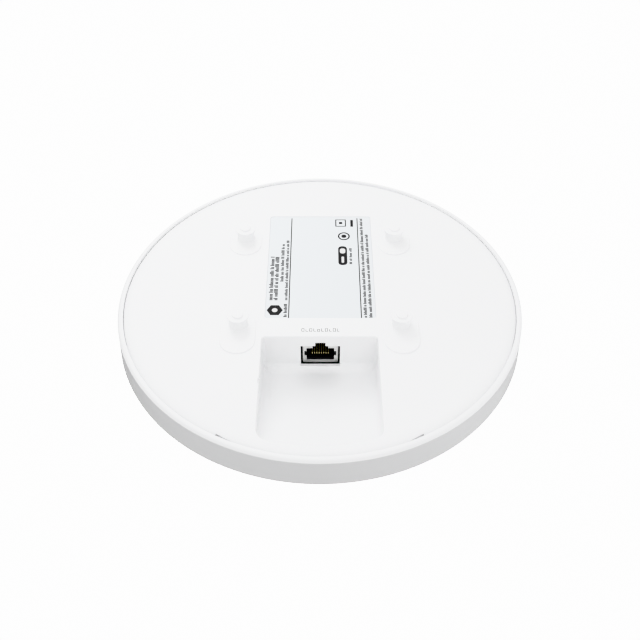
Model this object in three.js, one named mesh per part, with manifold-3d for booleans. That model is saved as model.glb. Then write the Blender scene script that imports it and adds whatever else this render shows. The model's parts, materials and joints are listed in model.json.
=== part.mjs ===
// Ceiling access point: a round housing that hangs under a ceiling on four mushroom studs.
//
// Frame: millimetres, +Z towards the ceiling, origin on the axis at the front face, which is the
// lowest face of the part. The cable bay opens towards -Y.

import * as THREE from 'three';
import { mergeVertices } from 'three/addons/utils/BufferGeometryUtils.js';
import Module from 'manifold-3d';

const wasm = await Module();
wasm.setup();

// ---------------------------------------------------------------- driving dimensions

const SEGMENTS = 72; // facets round the housing
const SMALL_SEGMENTS = 20; // facets round a stud, post or screw
const GAP = 0.3; // clearance between neighbouring pieces
const BITE = 0.2; // how far two moulded features run into each other before they are joined

const housing = {
  rimRadius: 90, // outer edge of the rim, at the top of the side wall
  flareRadius: 90.75, // lower edge of the side wall
  backZ: 27.9, // flat back of the rear cover
  rimZ: 26.74, // top of the side wall
  flareZ: 13.84, // bottom of the side wall
  flatRadius: 51, // flat middle of the domed front
  wall: 2.4,
};

const cover = {
  seamRadius: 87.55, // inside of the rim, where the rear cover sits
  thickness: 2.2,
  edgeDrop: 1.6, // the back curves down towards the seam
  edgeRun: 5,
  skirtOuter: 84.4,
  skirtThickness: 1.8,
  skirtZ: 20,
};
cover.radius = cover.seamRadius - GAP;
cover.insideZ = housing.backZ - cover.thickness;

// The ledge inside the rim that the rear cover rests on, and the barbs that catch under it.
const ledge = { innerRadius: cover.skirtOuter + 0.6, topZ: cover.insideZ - GAP, thickness: 2.7 };
ledge.bottomZ = ledge.topZ - ledge.thickness;
const hook = { angles: [18, 90, 162, 234, 306], width: 12, root: 0.8, reach: 1.8, tip: 0.7 };

const bay = {
  halfWidth: 25,
  backY: -24.65,
  endRadius: 82.3, // the near end follows the housing's edge
  floorZ: 7.5,
  rampStartY: -38,
  rampEndZ: 24.5,
  blend: 5.3, // length of the curve between the floor and the ramp
  backCorner: 1.5,
  endCorner: 6,
  wall: 1.4,
};

// The hole in the bay's back wall, with a notch above it for the plug's latch.
// Behind its front edge the wall is thinned round the hole.
const jackHole = { margin: 0.65, bottomZ: 9.84, topZ: 21.65, notchTopZ: 23.81, edge: 0.5, relief: 1.2 };

// Tapered notches in the cover's edge for the tool that opens the housing, each deep at one end.
const pry = { places: [[242, 248], [298, 292]], depth: 1.1, height: 2.6, thinDepth: 0.05 };

const edgeNotch = { fromY: -51, toY: -48, width: 0.4, depth: 1.5 }; // in the left edge of the bay

const stud = {
  x: 35.3,
  frontY: -18,
  rearY: 40,
  footRadius: 4.7,
  footHeight: 0.7,
  stemRadius: 4,
  headRadius: 4.7,
  headTaper: 2.6, // height of the sloping underside of the head
  headEdge: 0.6,
  headChamfer: 0.25,
  bossRadius: 2.4,
  bossHeight: 0.7,
  topZ: 35,
};

const pad = { radius: 7.7, height: 0.5, frontY: -27.1, rearY: 35.7 };

const label = { x: 0.3, y: 21.8, width: 49, length: 70.5, corner: 1.2, thickness: 0.2 };
label.recess = 0.5; // depth of the shallow pocket that it sits in
label.gap = 0.1;

const board = {
  topZ: 9.04,
  thickness: 1.6,
  radius: 74,
  holeRadius: 1.7,
  postPlaces: [[58, 32], [-58, 32], [50, -42], [-50, -42]],
  postRadius: 3.2,
  postBore: 1.5,
  postBoreDepth: 11,
  jackOverhang: 1.2, // how far the socket stands out over the board's edge
};
board.bottomZ = board.topZ - board.thickness;

const screw = { headRadius: 2.7, headHeight: 1.8, shankRadius: 1.2, boardLength: 9, sinkLength: 6 };

const jack = {
  x: 0.25,
  frontY: bay.backY + bay.wall + GAP,
  width: 15.8,
  height: 13.4,
  depth: 16.5,
  sheet: 0.4,
  bottomZ: board.topZ + GAP,
  plugWidth: 12.1,
  plugBottomZ: 11.81,
  shieldBottomZ: 11.3, // the shield's opening reaches a little lower than the insulator's
  plugTopZ: 18.66,
  plugDepth: 14,
  latchWide: 6.8,
  latchWideTopZ: 20.9,
  latchNarrow: 4.3,
  latchNarrowTopZ: 22,
  sideNotchWidth: 14,
  sideNotchZ: [14.05, 16.8],
};

const contact = {
  count: 8,
  pitch: 1.02,
  width: 0.45,
  thickness: 0.28,
  pivotY: -19.4, // centre of the front bend, and the axis that the springs turn about
  pivotZ: 11.95,
  bendRadius: 0.45,
  slope: 20, // degrees above the socket's floor
  armLength: 9.2,
  tailLength: 2.4,
  troughZ: 10.7,
};

const sink = { x: -6, y: 36, width: 84, length: 44, baseZ: 12.4, base: 2 };
sink.finTopZ = 22.4;
sink.fins = 12;
sink.fin = 1.4;
sink.leg = { x: 34, y: 17, radius: 3, bore: 1.5 };

const radio = { places: [[3, 27], [3, 47]], chip: 9, canWidth: 30, canLength: 16, canHeight: 1.8 };
radio.sheet = 0.5;

const aerial = { distance: 50, plateZ: 3.9, sheet: 0.5, width: 8, length: 26, angles: [40, 140, 215, 325] };

const led = { size: 1.6, height: 0.7 };
led.bottomZ = board.bottomZ - GAP - led.height;

const lightPipe = { y: 36, radius: 1.5, bottomZ: 0.15, topZ: led.bottomZ - GAP };

// ---------------------------------------------------------------- solids

// A closed three.js geometry as a manifold solid whose faces point out.
function solid(geometry) {
  const bare = geometry.index ? geometry.toNonIndexed() : geometry.clone();
  bare.deleteAttribute('normal');
  bare.deleteAttribute('uv');
  const merged = mergeVertices(bare, 1e-4);
  const place = merged.attributes.position;
  const index = merged.index.array;
  const corners = [];
  let volume = 0;
  const [a, b, c] = [new THREE.Vector3(), new THREE.Vector3(), new THREE.Vector3()];
  for (let i = 0; i < index.length; i += 3) {
    const [p, q, r] = [index[i], index[i + 1], index[i + 2]];
    if (p === q || q === r || r === p) continue;
    corners.push(p, q, r);
    a.fromBufferAttribute(place, p);
    b.fromBufferAttribute(place, q);
    c.fromBufferAttribute(place, r);
    volume += a.dot(b.cross(c));
  }
  if (volume < 0) corners.reverse();
  const triVerts = Uint32Array.from(corners);
  const vertProperties = Float32Array.from(place.array);
  return new wasm.Manifold(new wasm.Mesh({ numProp: 3, vertProperties, triVerts }));
}

function toGeometry(body) {
  const mesh = body.getMesh();
  const geometry = new THREE.BufferGeometry();
  geometry.setAttribute('position', new THREE.BufferAttribute(mesh.vertProperties, 3));
  geometry.setIndex(new THREE.BufferAttribute(mesh.triVerts, 1));
  geometry.computeVertexNormals();
  return geometry;
}

const point = (x, y) => new THREE.Vector2(x, y);

// Points on an arc, both ends included. Angles in degrees.
function arc(x, y, radius, from, to, steps) {
  const points = [];
  for (let i = 0; i <= steps; i += 1) {
    const angle = THREE.MathUtils.degToRad(from + ((to - from) * i) / steps);
    points.push(point(x + radius * Math.cos(angle), y + radius * Math.sin(angle)));
  }
  return points;
}

// A solid of revolution about Z. The profile holds (radius, z) points and closes on itself or the axis.
function turned(profile, segments = SEGMENTS) {
  return solid(new THREE.LatheGeometry(profile, segments).rotateX(Math.PI / 2));
}

function closedTurned(profile, segments = SEGMENTS) {
  return turned([...profile, profile[0]], segments);
}

// An upright prism over an outline in the XY plane.
function prism(outline, bottomZ, topZ) {
  const shape = outline instanceof THREE.Shape ? outline : new THREE.Shape(outline);
  const geometry = new THREE.ExtrudeGeometry(shape, { depth: topZ - bottomZ, bevelEnabled: false });
  return solid(geometry.translate(0, 0, bottomZ));
}

// A bar along X over an outline of (y, z) points.
function bar(outline, fromX, toX) {
  const shape = new THREE.Shape(outline);
  const geometry = new THREE.ExtrudeGeometry(shape, { depth: toX - fromX, bevelEnabled: false });
  geometry.rotateX(Math.PI / 2).rotateZ(Math.PI / 2);
  return solid(geometry.translate(fromX, 0, 0));
}

// A bar along Y over an outline of (x, z) points.
function wallOutline(outline, fromY, toY) {
  const shape = new THREE.Shape(outline);
  const geometry = new THREE.ExtrudeGeometry(shape, { depth: toY - fromY, bevelEnabled: false });
  return solid(geometry.rotateX(Math.PI / 2).translate(0, toY, 0));
}

function box(fromX, toX, fromY, toY, fromZ, toZ) {
  const geometry = new THREE.BoxGeometry(toX - fromX, toY - fromY, toZ - fromZ);
  return solid(geometry.translate((fromX + toX) / 2, (fromY + toY) / 2, (fromZ + toZ) / 2));
}

function block(x, y, bottomZ, width, length, height) {
  return box(x - width / 2, x + width / 2, y - length / 2, y + length / 2, bottomZ, bottomZ + height);
}

function rod(x, y, radius, bottomZ, topZ, segments = SMALL_SEGMENTS) {
  const geometry = new THREE.CylinderGeometry(radius, radius, topZ - bottomZ, segments);
  return solid(geometry.rotateX(Math.PI / 2).translate(x, y, (bottomZ + topZ) / 2));
}

function roundedRectangle(x, y, width, length, corner) {
  const [left, right] = [x - width / 2, x + width / 2];
  const [front, rear] = [y - length / 2, y + length / 2];
  return [
    ...arc(right - corner, front + corner, corner, -90, 0, 3),
    ...arc(right - corner, rear - corner, corner, 0, 90, 3),
    ...arc(left + corner, rear - corner, corner, 90, 180, 3),
    ...arc(left + corner, front + corner, corner, 180, 270, 3),
  ];
}

// ---------------------------------------------------------------- the assembly

const group = new THREE.Group();
group.name = 'ceiling_access_point';

const finishes = {
  whitePlastic: { color: 0xf2f3f4, roughness: 0.38, metalness: 0 },
  labelPaper: { color: 0xe9eaea, roughness: 0.6, metalness: 0 },
  blackPlastic: { color: 0x161616, roughness: 0.5, metalness: 0 },
  tinPlate: { color: 0xb9bbbd, roughness: 0.35, metalness: 1 },
  gold: { color: 0xd9b45a, roughness: 0.25, metalness: 1 },
  circuitBoard: { color: 0x1d4a33, roughness: 0.5, metalness: 0 },
  chip: { color: 0x1b1c1e, roughness: 0.55, metalness: 0 },
  ferrite: { color: 0x33302d, roughness: 0.7, metalness: 0 },
  aluminium: { color: 0xa9adb0, roughness: 0.4, metalness: 1 },
  thermalPad: { color: 0x8fa3b8, roughness: 0.9, metalness: 0 },
  steel: { color: 0x9a9c9e, roughness: 0.35, metalness: 1 },
  clearPlastic: { color: 0xe6eef2, roughness: 0.15, metalness: 0 },
};

function add(name, body, finish) {
  const mesh = new THREE.Mesh(toGeometry(body), new THREE.MeshStandardMaterial(finishes[finish]));
  mesh.name = name;
  group.add(mesh);
}

// ---------------------------------------------------------------- front cover

// The dome starts level at flatRadius and reaches the side wall's lower edge on one arc.
const domeRun = housing.flareRadius - housing.flatRadius;
const domeRadius = (domeRun ** 2 + housing.flareZ ** 2) / (2 * housing.flareZ);
const domeEdgeAngle = THREE.MathUtils.radToDeg(Math.asin(domeRun / domeRadius));

function frontCover() {
  const { rimRadius, rimZ, backZ, flareRadius, flatRadius, wall } = housing;
  const innerRadius = flareRadius - wall - 0.3;
  const innerDome = domeRadius - wall;
  const innerEdge = THREE.MathUtils.radToDeg(Math.asin((innerRadius - flatRadius) / innerDome));
  const shell = turned([
    point(0, 0),
    ...arc(flatRadius, domeRadius, domeRadius, -90, -90 + domeEdgeAngle, 8),
    point(rimRadius, rimZ),
    point(rimRadius - 0.7, backZ - 0.35),
    point(rimRadius - 1.5, backZ),
    point(cover.seamRadius, backZ),
    point(cover.seamRadius, ledge.topZ),
    point(ledge.innerRadius, ledge.topZ),
    point(ledge.innerRadius, ledge.bottomZ),
    point(innerRadius, ledge.bottomZ),
    ...arc(flatRadius, domeRadius, innerDome, -90 + innerEdge, -90, 6),
    point(0, wall),
  ]);
  return shell.subtract(rod(0, lightPipe.y, lightPipe.radius + GAP, -1, wall + 1));
}

// ---------------------------------------------------------------- rear cover

function coverPlate() {
  const { radius, edgeDrop, edgeRun, insideZ } = cover;
  const edge = new THREE.QuadraticBezierCurve(
    point(radius, housing.backZ - edgeDrop),
    point(radius - edgeRun / 4, housing.backZ),
    point(radius - edgeRun, housing.backZ),
  );
  const plate = turned([
    point(0, insideZ),
    point(radius, insideZ),
    ...edge.getPoints(4),
    point(0, housing.backZ),
  ]);
  const skirtInner = cover.skirtOuter - cover.skirtThickness;
  const skirt = closedTurned([
    point(skirtInner, cover.skirtZ),
    point(cover.skirtOuter, cover.skirtZ),
    point(cover.skirtOuter, insideZ + BITE),
    point(skirtInner, insideZ + BITE),
  ]);
  return plate.add(skirt);
}

// A barb on the skirt that catches under the front cover's ledge.
function snapHook(angle) {
  const root = cover.skirtOuter - hook.root;
  const reach = cover.skirtOuter + hook.reach;
  const top = ledge.bottomZ - GAP;
  const barb = wallOutline(
    [point(root, cover.skirtZ), point(reach, top - hook.tip), point(reach, top), point(root, top)],
    -hook.width / 2,
    hook.width / 2,
  );
  return barb.rotate([0, 0, angle]);
}

// Plan outline of the cable bay, grown outwards by the given amounts.
function bayPlan(sideGrowth, backGrowth) {
  const side = bay.halfWidth + sideGrowth;
  const back = bay.backY + backGrowth;
  const end = bay.endRadius + sideGrowth;
  const backCorner = bay.backCorner + sideGrowth;
  const endCorner = bay.endCorner + sideGrowth;
  const cornerX = side - endCorner;
  const cornerY = -Math.sqrt((end - endCorner) ** 2 - cornerX ** 2);
  const cornerAngle = THREE.MathUtils.radToDeg(Math.atan2(cornerY, cornerX));
  return [
    ...arc(side - backCorner, back - backCorner, backCorner, 0, 90, 3),
    ...arc(-side + backCorner, back - backCorner, backCorner, 90, 180, 3),
    ...arc(-cornerX, cornerY, endCorner, 180, 180 - cornerAngle, 5),
    ...arc(0, 0, end, -180 - cornerAngle, cornerAngle, 6).slice(1, -1),
    ...arc(cornerX, cornerY, endCorner, cornerAngle, 0, 5),
  ];
}

// Side view of everything above the bay's floor, as (y, z) points: a level floor, then a ramp to the rim.
function aboveFloor(drop) {
  const { floorZ, rampStartY, rampEndZ, endRadius, blend } = bay;
  const slope = (rampEndZ - floorZ) / (endRadius + rampStartY);
  const bend = new THREE.QuadraticBezierCurve(
    point(rampStartY + blend, floorZ),
    point(rampStartY, floorZ),
    point(rampStartY - blend, floorZ + slope * blend),
  );
  const topZ = housing.backZ + 5;
  const beyond = endRadius + 10;
  return [
    point(0, topZ),
    point(0, floorZ - drop),
    ...bend.getPoints(4).map((p) => point(p.x, p.y - drop)),
    point(-beyond, floorZ + slope * (beyond + rampStartY) - drop),
    point(-beyond, topZ),
  ];
}

function bayPocket() {
  const plan = prism(bayPlan(0, 0), 0, housing.backZ + 2);
  return plan.intersect(bar(aboveFloor(0), -bay.halfWidth - 5, bay.halfWidth + 5));
}

function bayShell() {
  const plan = prism(bayPlan(bay.wall, bay.wall), 0, cover.insideZ + BITE);
  return plan.intersect(bar(aboveFloor(bay.wall), -bay.halfWidth - 5, bay.halfWidth + 5));
}

function jackWindow() {
  const half = jack.width / 2 + jackHole.margin;
  const notch = jack.latchNarrow / 2;
  const { bottomZ, topZ, notchTopZ } = jackHole;
  const outline = [
    point(-half, bottomZ),
    point(half, bottomZ),
    point(half, topZ),
    point(notch, topZ),
    point(notch, notchTopZ),
    point(-notch, notchTopZ),
    point(-notch, topZ),
    point(-half, topZ),
  ].map((p) => point(p.x + jack.x, p.y));
  const hole = wallOutline(outline, bay.backY - 1, bay.backY + bay.wall + 1);
  const { edge, relief } = jackHole;
  const reliefFront = bay.backY + edge;
  const thinned = box(
    jack.x - half - relief,
    jack.x + half + relief,
    reliefFront,
    reliefFront + bay.wall,
    bottomZ - relief,
    notchTopZ + relief / 2,
  );
  return hole.add(thinned);
}

// A raised pad with round ends that runs from the stud to its own centre.
function studPad(x, studY, padY) {
  const [front, rear] = [Math.min(studY, padY), Math.max(studY, padY)];
  const outline = [...arc(x, front, pad.radius, 180, 360, 9), ...arc(x, rear, pad.radius, 0, 180, 9)];
  return prism(outline, housing.backZ - BITE, housing.backZ + pad.height);
}

function mushroomStud(x, y) {
  const foot = housing.backZ + pad.height;
  const { footRadius, footHeight, stemRadius, headRadius, headTaper, headEdge, headChamfer } = stud;
  const { bossRadius, bossHeight, topZ } = stud;
  const headTop = topZ - bossHeight;
  const headBottom = headTop - headChamfer - headEdge;
  const profile = [
    point(0, foot - BITE),
    point(footRadius, foot - BITE),
    point(footRadius, foot),
    point(stemRadius, foot + footHeight),
    point(stemRadius, headBottom - headTaper),
    point(headRadius, headBottom),
    point(headRadius, headTop - headChamfer),
    point(headRadius - headChamfer, headTop),
    point(bossRadius + headChamfer, headTop),
    point(bossRadius, topZ),
    point(0, topZ),
  ];
  return turned(profile, SMALL_SEGMENTS).translate([x, y, 0]);
}

// A hollow post that the board is screwed to.
function boardPost([x, y]) {
  const { topZ, postRadius, postBore, postBoreDepth } = board;
  const post = rod(x, y, postRadius, topZ + GAP, cover.insideZ + BITE);
  return post.subtract(rod(x, y, postBore, topZ - 1, topZ + postBoreDepth));
}

function pryNotch([deepAngle, thinAngle]) {
  const edge = cover.radius + 1;
  const [deep, thin] = [deepAngle, thinAngle].map(THREE.MathUtils.degToRad);
  const at = (angle, radius) => point(radius * Math.cos(angle), radius * Math.sin(angle));
  const outline = [
    at(deep, cover.radius - pry.depth),
    at(deep, edge),
    at((deep + thin) / 2, edge),
    at(thin, edge),
    at(thin, cover.radius - pry.thinDepth),
  ];
  return prism(outline, housing.backZ - pry.height, housing.backZ + 1);
}

function bayEdgeNotch() {
  const { fromY, toY, width, depth } = edgeNotch;
  const edge = -bay.halfWidth;
  return box(edge - width, edge + 1, fromY, toY, housing.backZ - depth, housing.backZ + 1);
}

function rearCover() {
  const { x, y, width, length, corner, recess } = label;
  const labelOutline = roundedRectangle(x, y, width, length, corner);
  const labelRecess = prism(labelOutline, housing.backZ - recess, housing.backZ + 1);
  let body = coverPlate().add(bayShell());
  for (const angle of hook.angles) body = body.add(snapHook(angle));
  for (const place of board.postPlaces) body = body.add(boardPost(place));
  body = body.subtract(bayPocket()).subtract(jackWindow()).subtract(labelRecess).subtract(bayEdgeNotch());
  for (const place of pry.places) body = body.subtract(pryNotch(place));
  for (const side of [-1, 1]) {
    body = body.add(studPad(side * stud.x, stud.frontY, pad.frontY));
    body = body.add(studPad(side * stud.x, stud.rearY, pad.rearY));
    body = body.add(mushroomStud(side * stud.x, stud.frontY));
    body = body.add(mushroomStud(side * stud.x, stud.rearY));
  }
  return body;
}

function ratingLabel() {
  const { x, y, width, length, corner, recess, thickness, gap } = label;
  const bottom = housing.backZ - recess + gap;
  return prism(roundedRectangle(x, y, width - 2 * GAP, length - 2 * GAP, corner), bottom, bottom + thickness);
}

// ---------------------------------------------------------------- network socket

// The plug's opening as seen from the front: body, latch steps and, on the shield, the side notches.
function plugOutline(sideNotch, bottomZ) {
  const half = jack.plugWidth / 2;
  const [notchLow, notchHigh] = jack.sideNotchZ;
  const right = [point(half, bottomZ)];
  if (sideNotch > half) {
    right.push(point(half, notchLow), point(sideNotch, notchLow));
    right.push(point(sideNotch, notchHigh), point(half, notchHigh));
  }
  right.push(
    point(half, jack.plugTopZ),
    point(jack.latchWide / 2, jack.plugTopZ),
    point(jack.latchWide / 2, jack.latchWideTopZ),
    point(jack.latchNarrow / 2, jack.latchWideTopZ),
    point(jack.latchNarrow / 2, jack.latchNarrowTopZ),
  );
  const left = right.map((p) => point(-p.x, p.y)).reverse();
  return [...right, ...left].map((p) => point(p.x + jack.x, p.y));
}

function jackShield() {
  const { x, frontY, width, height, depth, sheet, bottomZ } = jack;
  const outer = box(x - width / 2, x + width / 2, frontY, frontY + depth, bottomZ, bottomZ + height);
  const inner = box(
    x - width / 2 + sheet,
    x + width / 2 - sheet,
    frontY + sheet,
    frontY + depth - sheet,
    bottomZ - 1,
    bottomZ + height - sheet,
  );
  const opening = plugOutline(jack.sideNotchWidth / 2, jack.shieldBottomZ);
  return outer.subtract(inner).subtract(wallOutline(opening, frontY - 1, frontY + 1));
}

function jackInsulator() {
  const { x, frontY, width, height, depth, sheet, bottomZ, plugDepth } = jack;
  const skin = sheet + GAP;
  const front = frontY + skin;
  const half = width / 2 - skin;
  const body = box(x - half, x + half, front, frontY + depth - skin, bottomZ, bottomZ + height - skin);
  const cavity = wallOutline(plugOutline(0, jack.plugBottomZ), front - 1, frontY + plugDepth);
  const row = (contact.count * contact.pitch) / 2 + 0.25;
  const troughFront = contact.pivotY - contact.bendRadius - 0.9;
  const troughTop = jack.plugBottomZ + 1;
  const trough = box(x - row, x + row, troughFront, frontY + plugDepth, contact.troughZ, troughTop);
  return body.subtract(cavity).subtract(trough);
}

// The outline of a strip of even thickness that follows a path of (y, z) points.
function stripOutline(path, thickness) {
  const [oneSide, otherSide] = [[], []];
  path.forEach((here, i) => {
    const before = path[Math.max(i - 1, 0)];
    const after = path[Math.min(i + 1, path.length - 1)];
    const along = after.clone().sub(before).normalize();
    const across = point(-along.y, along.x).multiplyScalar(thickness / 2);
    oneSide.push(here.clone().add(across));
    otherSide.unshift(here.clone().sub(across));
  });
  return [...oneSide, ...otherSide];
}

// One contact spring: a short tail under the floor, the front bend, and the arm that rises to the back.
function contactSpring(number) {
  const { pivotY, pivotZ, bendRadius, slope, armLength, tailLength } = contact;
  const { thickness, width, count, pitch } = contact;
  const bend = arc(pivotY, pivotZ, bendRadius, 270, 90 + slope, 6);
  const start = bend[0];
  const end = bend[bend.length - 1];
  const rise = THREE.MathUtils.degToRad(slope);
  const path = [
    point(start.x + tailLength, start.y),
    ...bend,
    point(end.x + armLength * Math.cos(rise), end.y + armLength * Math.sin(rise)),
  ];
  const centre = jack.x + (number - (count + 1) / 2) * pitch;
  return bar(stripOutline(path, thickness), centre - width / 2, centre + width / 2);
}

// ---------------------------------------------------------------- board and what it carries

function mainBoard() {
  const { radius, bottomZ, topZ, holeRadius, postPlaces } = board;
  const disc = rod(0, 0, radius, bottomZ, topZ, SEGMENTS);
  const side = bay.halfWidth + bay.wall + 0.6;
  const notch = box(-side, side, -radius - 1, jack.frontY + board.jackOverhang, bottomZ - 1, topZ + 1);
  let body = disc.subtract(notch);
  for (const [x, y] of postPlaces) body = body.subtract(rod(x, y, holeRadius, bottomZ - 1, topZ + 1));
  for (const [x, y] of sinkScrewPlaces) body = body.subtract(rod(x, y, holeRadius, bottomZ - 1, topZ + 1));
  return body;
}

// A pan-head screw whose head bears on the board's underside.
function boardScrew([x, y], length) {
  const headTop = board.bottomZ - GAP;
  const head = rod(x, y, screw.headRadius, headTop - screw.headHeight, headTop);
  return head.add(rod(x, y, screw.shankRadius, headTop - BITE, headTop + length));
}

const onBoard = board.topZ + GAP;

// A shielding can, open towards the board.
function radioCan(x, y) {
  const { canWidth, canLength, canHeight, sheet } = radio;
  const outer = block(x, y, onBoard, canWidth, canLength, canHeight);
  const inner = block(x, y, onBoard - 1, canWidth - 2 * sheet, canLength - 2 * sheet, canHeight + 1 - sheet);
  return outer.subtract(inner);
}

const sinkScrewPlaces = [-1, 1].map((side) => [sink.x + side * sink.leg.x, sink.y + side * sink.leg.y]);

function heatSink() {
  const { x, y, width, length, baseZ, base, finTopZ, fins, fin, leg } = sink;
  let body = block(x, y, baseZ, width, length, base);
  const pitch = (width - fin) / (fins - 1);
  for (let i = 0; i < fins; i += 1) {
    const finX = x - width / 2 + fin / 2 + i * pitch;
    body = body.add(block(finX, y, baseZ + base - BITE, fin, length, finTopZ - baseZ - base + BITE));
  }
  for (const [screwX, screwY] of sinkScrewPlaces) {
    body = body.add(rod(screwX, screwY, leg.radius, onBoard, baseZ + BITE));
    body = body.subtract(rod(screwX, screwY, leg.bore, onBoard - 1, baseZ + base - 0.4));
  }
  return body;
}

// Core and winding of a transformer or inductor: two flanges and a narrower waist between them.
function woundBlock(x, y, width, length, height) {
  const flange = height * 0.28;
  const core = block(x, y, onBoard, width, length, flange);
  const waistHeight = height - 2 * flange + 2 * BITE;
  const waist = block(x, y, onBoard + flange - BITE, width * 0.8, length * 0.8, waistHeight);
  const top = block(x, y, onBoard + height - flange, width, length, flange);
  return core.add(waist).add(top);
}

// A standing electrolytic capacitor with the rolled groove near its foot.
function canCapacitor(x, y, radius, height) {
  const bottom = onBoard;
  return turned(
    [
      point(0, bottom),
      point(radius, bottom),
      point(radius, bottom + 1),
      point(radius - 0.4, bottom + 1.4),
      point(radius, bottom + 1.8),
      point(radius, bottom + height - 0.4),
      point(radius - 0.4, bottom + height),
      point(0, bottom + height),
    ],
    SMALL_SEGMENTS,
  ).translate([x, y, 0]);
}

// A low stamped antenna under the board: a plate with a feed leg and a ground leg.
function antenna(angle) {
  const { distance, plateZ, sheet, width, length } = aerial;
  const legTop = board.bottomZ - GAP;
  const [edge, end] = [distance - width / 2, -length / 2];
  const plate = block(distance, 0, plateZ, width, length, sheet);
  const groundLeg = box(edge, edge + sheet, end, end + 4, plateZ, legTop);
  const feedLeg = box(edge, edge + sheet, end + 7, end + 8.5, plateZ, legTop);
  const slot = block(distance + 1, 2, plateZ - 1, 1.5, length - 10, sheet + 2);
  return plate.add(groundLeg).add(feedLeg).subtract(slot).rotate([0, 0, angle]);
}

// ---------------------------------------------------------------- put together

add('front_cover', frontCover(), 'whitePlastic');
add('rear_cover', rearCover(), 'whitePlastic');
add('rating_label', ratingLabel(), 'labelPaper');

add('jack_shield', jackShield(), 'tinPlate');
add('jack_insulator', jackInsulator(), 'blackPlastic');
for (let number = 1; number <= contact.count; number += 1) {
  add(`jack_contact_${number}`, contactSpring(number), 'gold');
}

add('main_board', mainBoard(), 'circuitBoard');
board.postPlaces.forEach((place, i) => {
  add(`board_screw_${i + 1}`, boardScrew(place, screw.boardLength), 'steel');
});

add('ethernet_transformer', woundBlock(jack.x, 2.5, 16.5, 12, 5.5), 'blackPlastic');
add('ethernet_phy', block(-19, -2, onBoard, 7, 7, 0.9), 'chip');

add('poe_input_bridge_1', block(17, -16, onBoard, 6.5, 5, 2.5), 'chip');
add('poe_input_bridge_2', block(27, -16, onBoard, 6.5, 5, 2.5), 'chip');
add('poe_controller', block(48, -16, onBoard, 5, 5, 0.9), 'chip');
add('poe_switch', block(38, -16, onBoard, 6.5, 6, 2.3), 'chip');
add('input_capacitor', canCapacitor(20, -5, 4, 11), 'aluminium');
add('poe_transformer', woundBlock(35, -3, 13.5, 13.5, 11.5), 'ferrite');
add('output_inductor', woundBlock(60, -3, 10, 10, 4.5), 'ferrite');
add('output_capacitor_1', canCapacitor(48.5, -5, 3.15, 8), 'aluminium');
add('output_capacitor_2', canCapacitor(48.5, 4, 3.15, 8), 'aluminium');

add('main_processor', block(-28, 36, onBoard, 15, 15, 1.4), 'chip');
add('processor_thermal_pad', block(-28, 36, onBoard + 1.7, 15, 15, 0.8), 'thermalPad');
add('memory_chip_1', block(-53, 8, onBoard, 9, 13, 1.1), 'chip');
add('memory_chip_2', block(-39, 5, onBoard, 9, 13, 1.1), 'chip');
add('flash_chip', block(-27, 6, onBoard, 6, 8, 1.1), 'chip');

radio.places.forEach(([x, y], i) => {
  add(`radio_chip_${i + 1}`, block(x, y, onBoard, radio.chip, radio.chip, 0.9), 'chip');
  add(`radio_can_${i + 1}`, radioCan(x, y), 'tinPlate');
  add(`can_thermal_pad_${i + 1}`, block(x, y, onBoard + radio.canHeight + 0.25, 20, 12, 0.7), 'thermalPad');
});

add('heat_sink', heatSink(), 'aluminium');
sinkScrewPlaces.forEach((place, i) => {
  add(`heat_sink_screw_${i + 1}`, boardScrew(place, screw.sinkLength), 'steel');
});

aerial.angles.forEach((angle, i) => add(`antenna_${i + 1}`, antenna(angle), 'tinPlate'));

add('status_led', block(0, lightPipe.y, led.bottomZ, led.size, led.size, led.height), 'clearPlastic');
const pipe = rod(0, lightPipe.y, lightPipe.radius, lightPipe.bottomZ, lightPipe.topZ);
add('led_light_pipe', pipe, 'clearPlastic');

export default group;
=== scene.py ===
# The looks of a ceiling access point that lies on its front, seen from the side that faces the ceiling.
# Lengths are in millimetres until a shape becomes an object, which is in metres.

import json
import math
import random

import bmesh
import bpy
from mathutils import Matrix, Vector


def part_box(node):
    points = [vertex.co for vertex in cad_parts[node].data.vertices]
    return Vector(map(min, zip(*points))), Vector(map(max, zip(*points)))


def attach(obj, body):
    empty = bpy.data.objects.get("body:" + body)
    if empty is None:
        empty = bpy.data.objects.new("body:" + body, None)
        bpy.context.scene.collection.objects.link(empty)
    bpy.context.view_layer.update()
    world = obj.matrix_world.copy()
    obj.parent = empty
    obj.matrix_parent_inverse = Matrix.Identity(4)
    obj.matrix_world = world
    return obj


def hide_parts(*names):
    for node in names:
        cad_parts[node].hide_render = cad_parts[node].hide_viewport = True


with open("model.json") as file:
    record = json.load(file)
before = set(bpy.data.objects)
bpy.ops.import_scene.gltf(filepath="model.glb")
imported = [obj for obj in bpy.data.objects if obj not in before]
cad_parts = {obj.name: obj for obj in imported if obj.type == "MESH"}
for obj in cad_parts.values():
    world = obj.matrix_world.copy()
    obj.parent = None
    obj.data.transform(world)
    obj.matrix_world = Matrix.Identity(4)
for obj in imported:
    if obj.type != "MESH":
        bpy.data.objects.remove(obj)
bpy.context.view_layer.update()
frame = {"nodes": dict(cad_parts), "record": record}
scene = bpy.context.scene

MM = 0.001
SEGMENTS = 216  # facets round the housing
SMALL_SEGMENTS = 48  # facets round a stud or post
BITE = 0.2  # how far two moulded features run into each other before they are joined

BACK_Z = 27.9  # flat back of the rear cover
INSIDE_Z = 25.7  # its inner face

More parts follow.
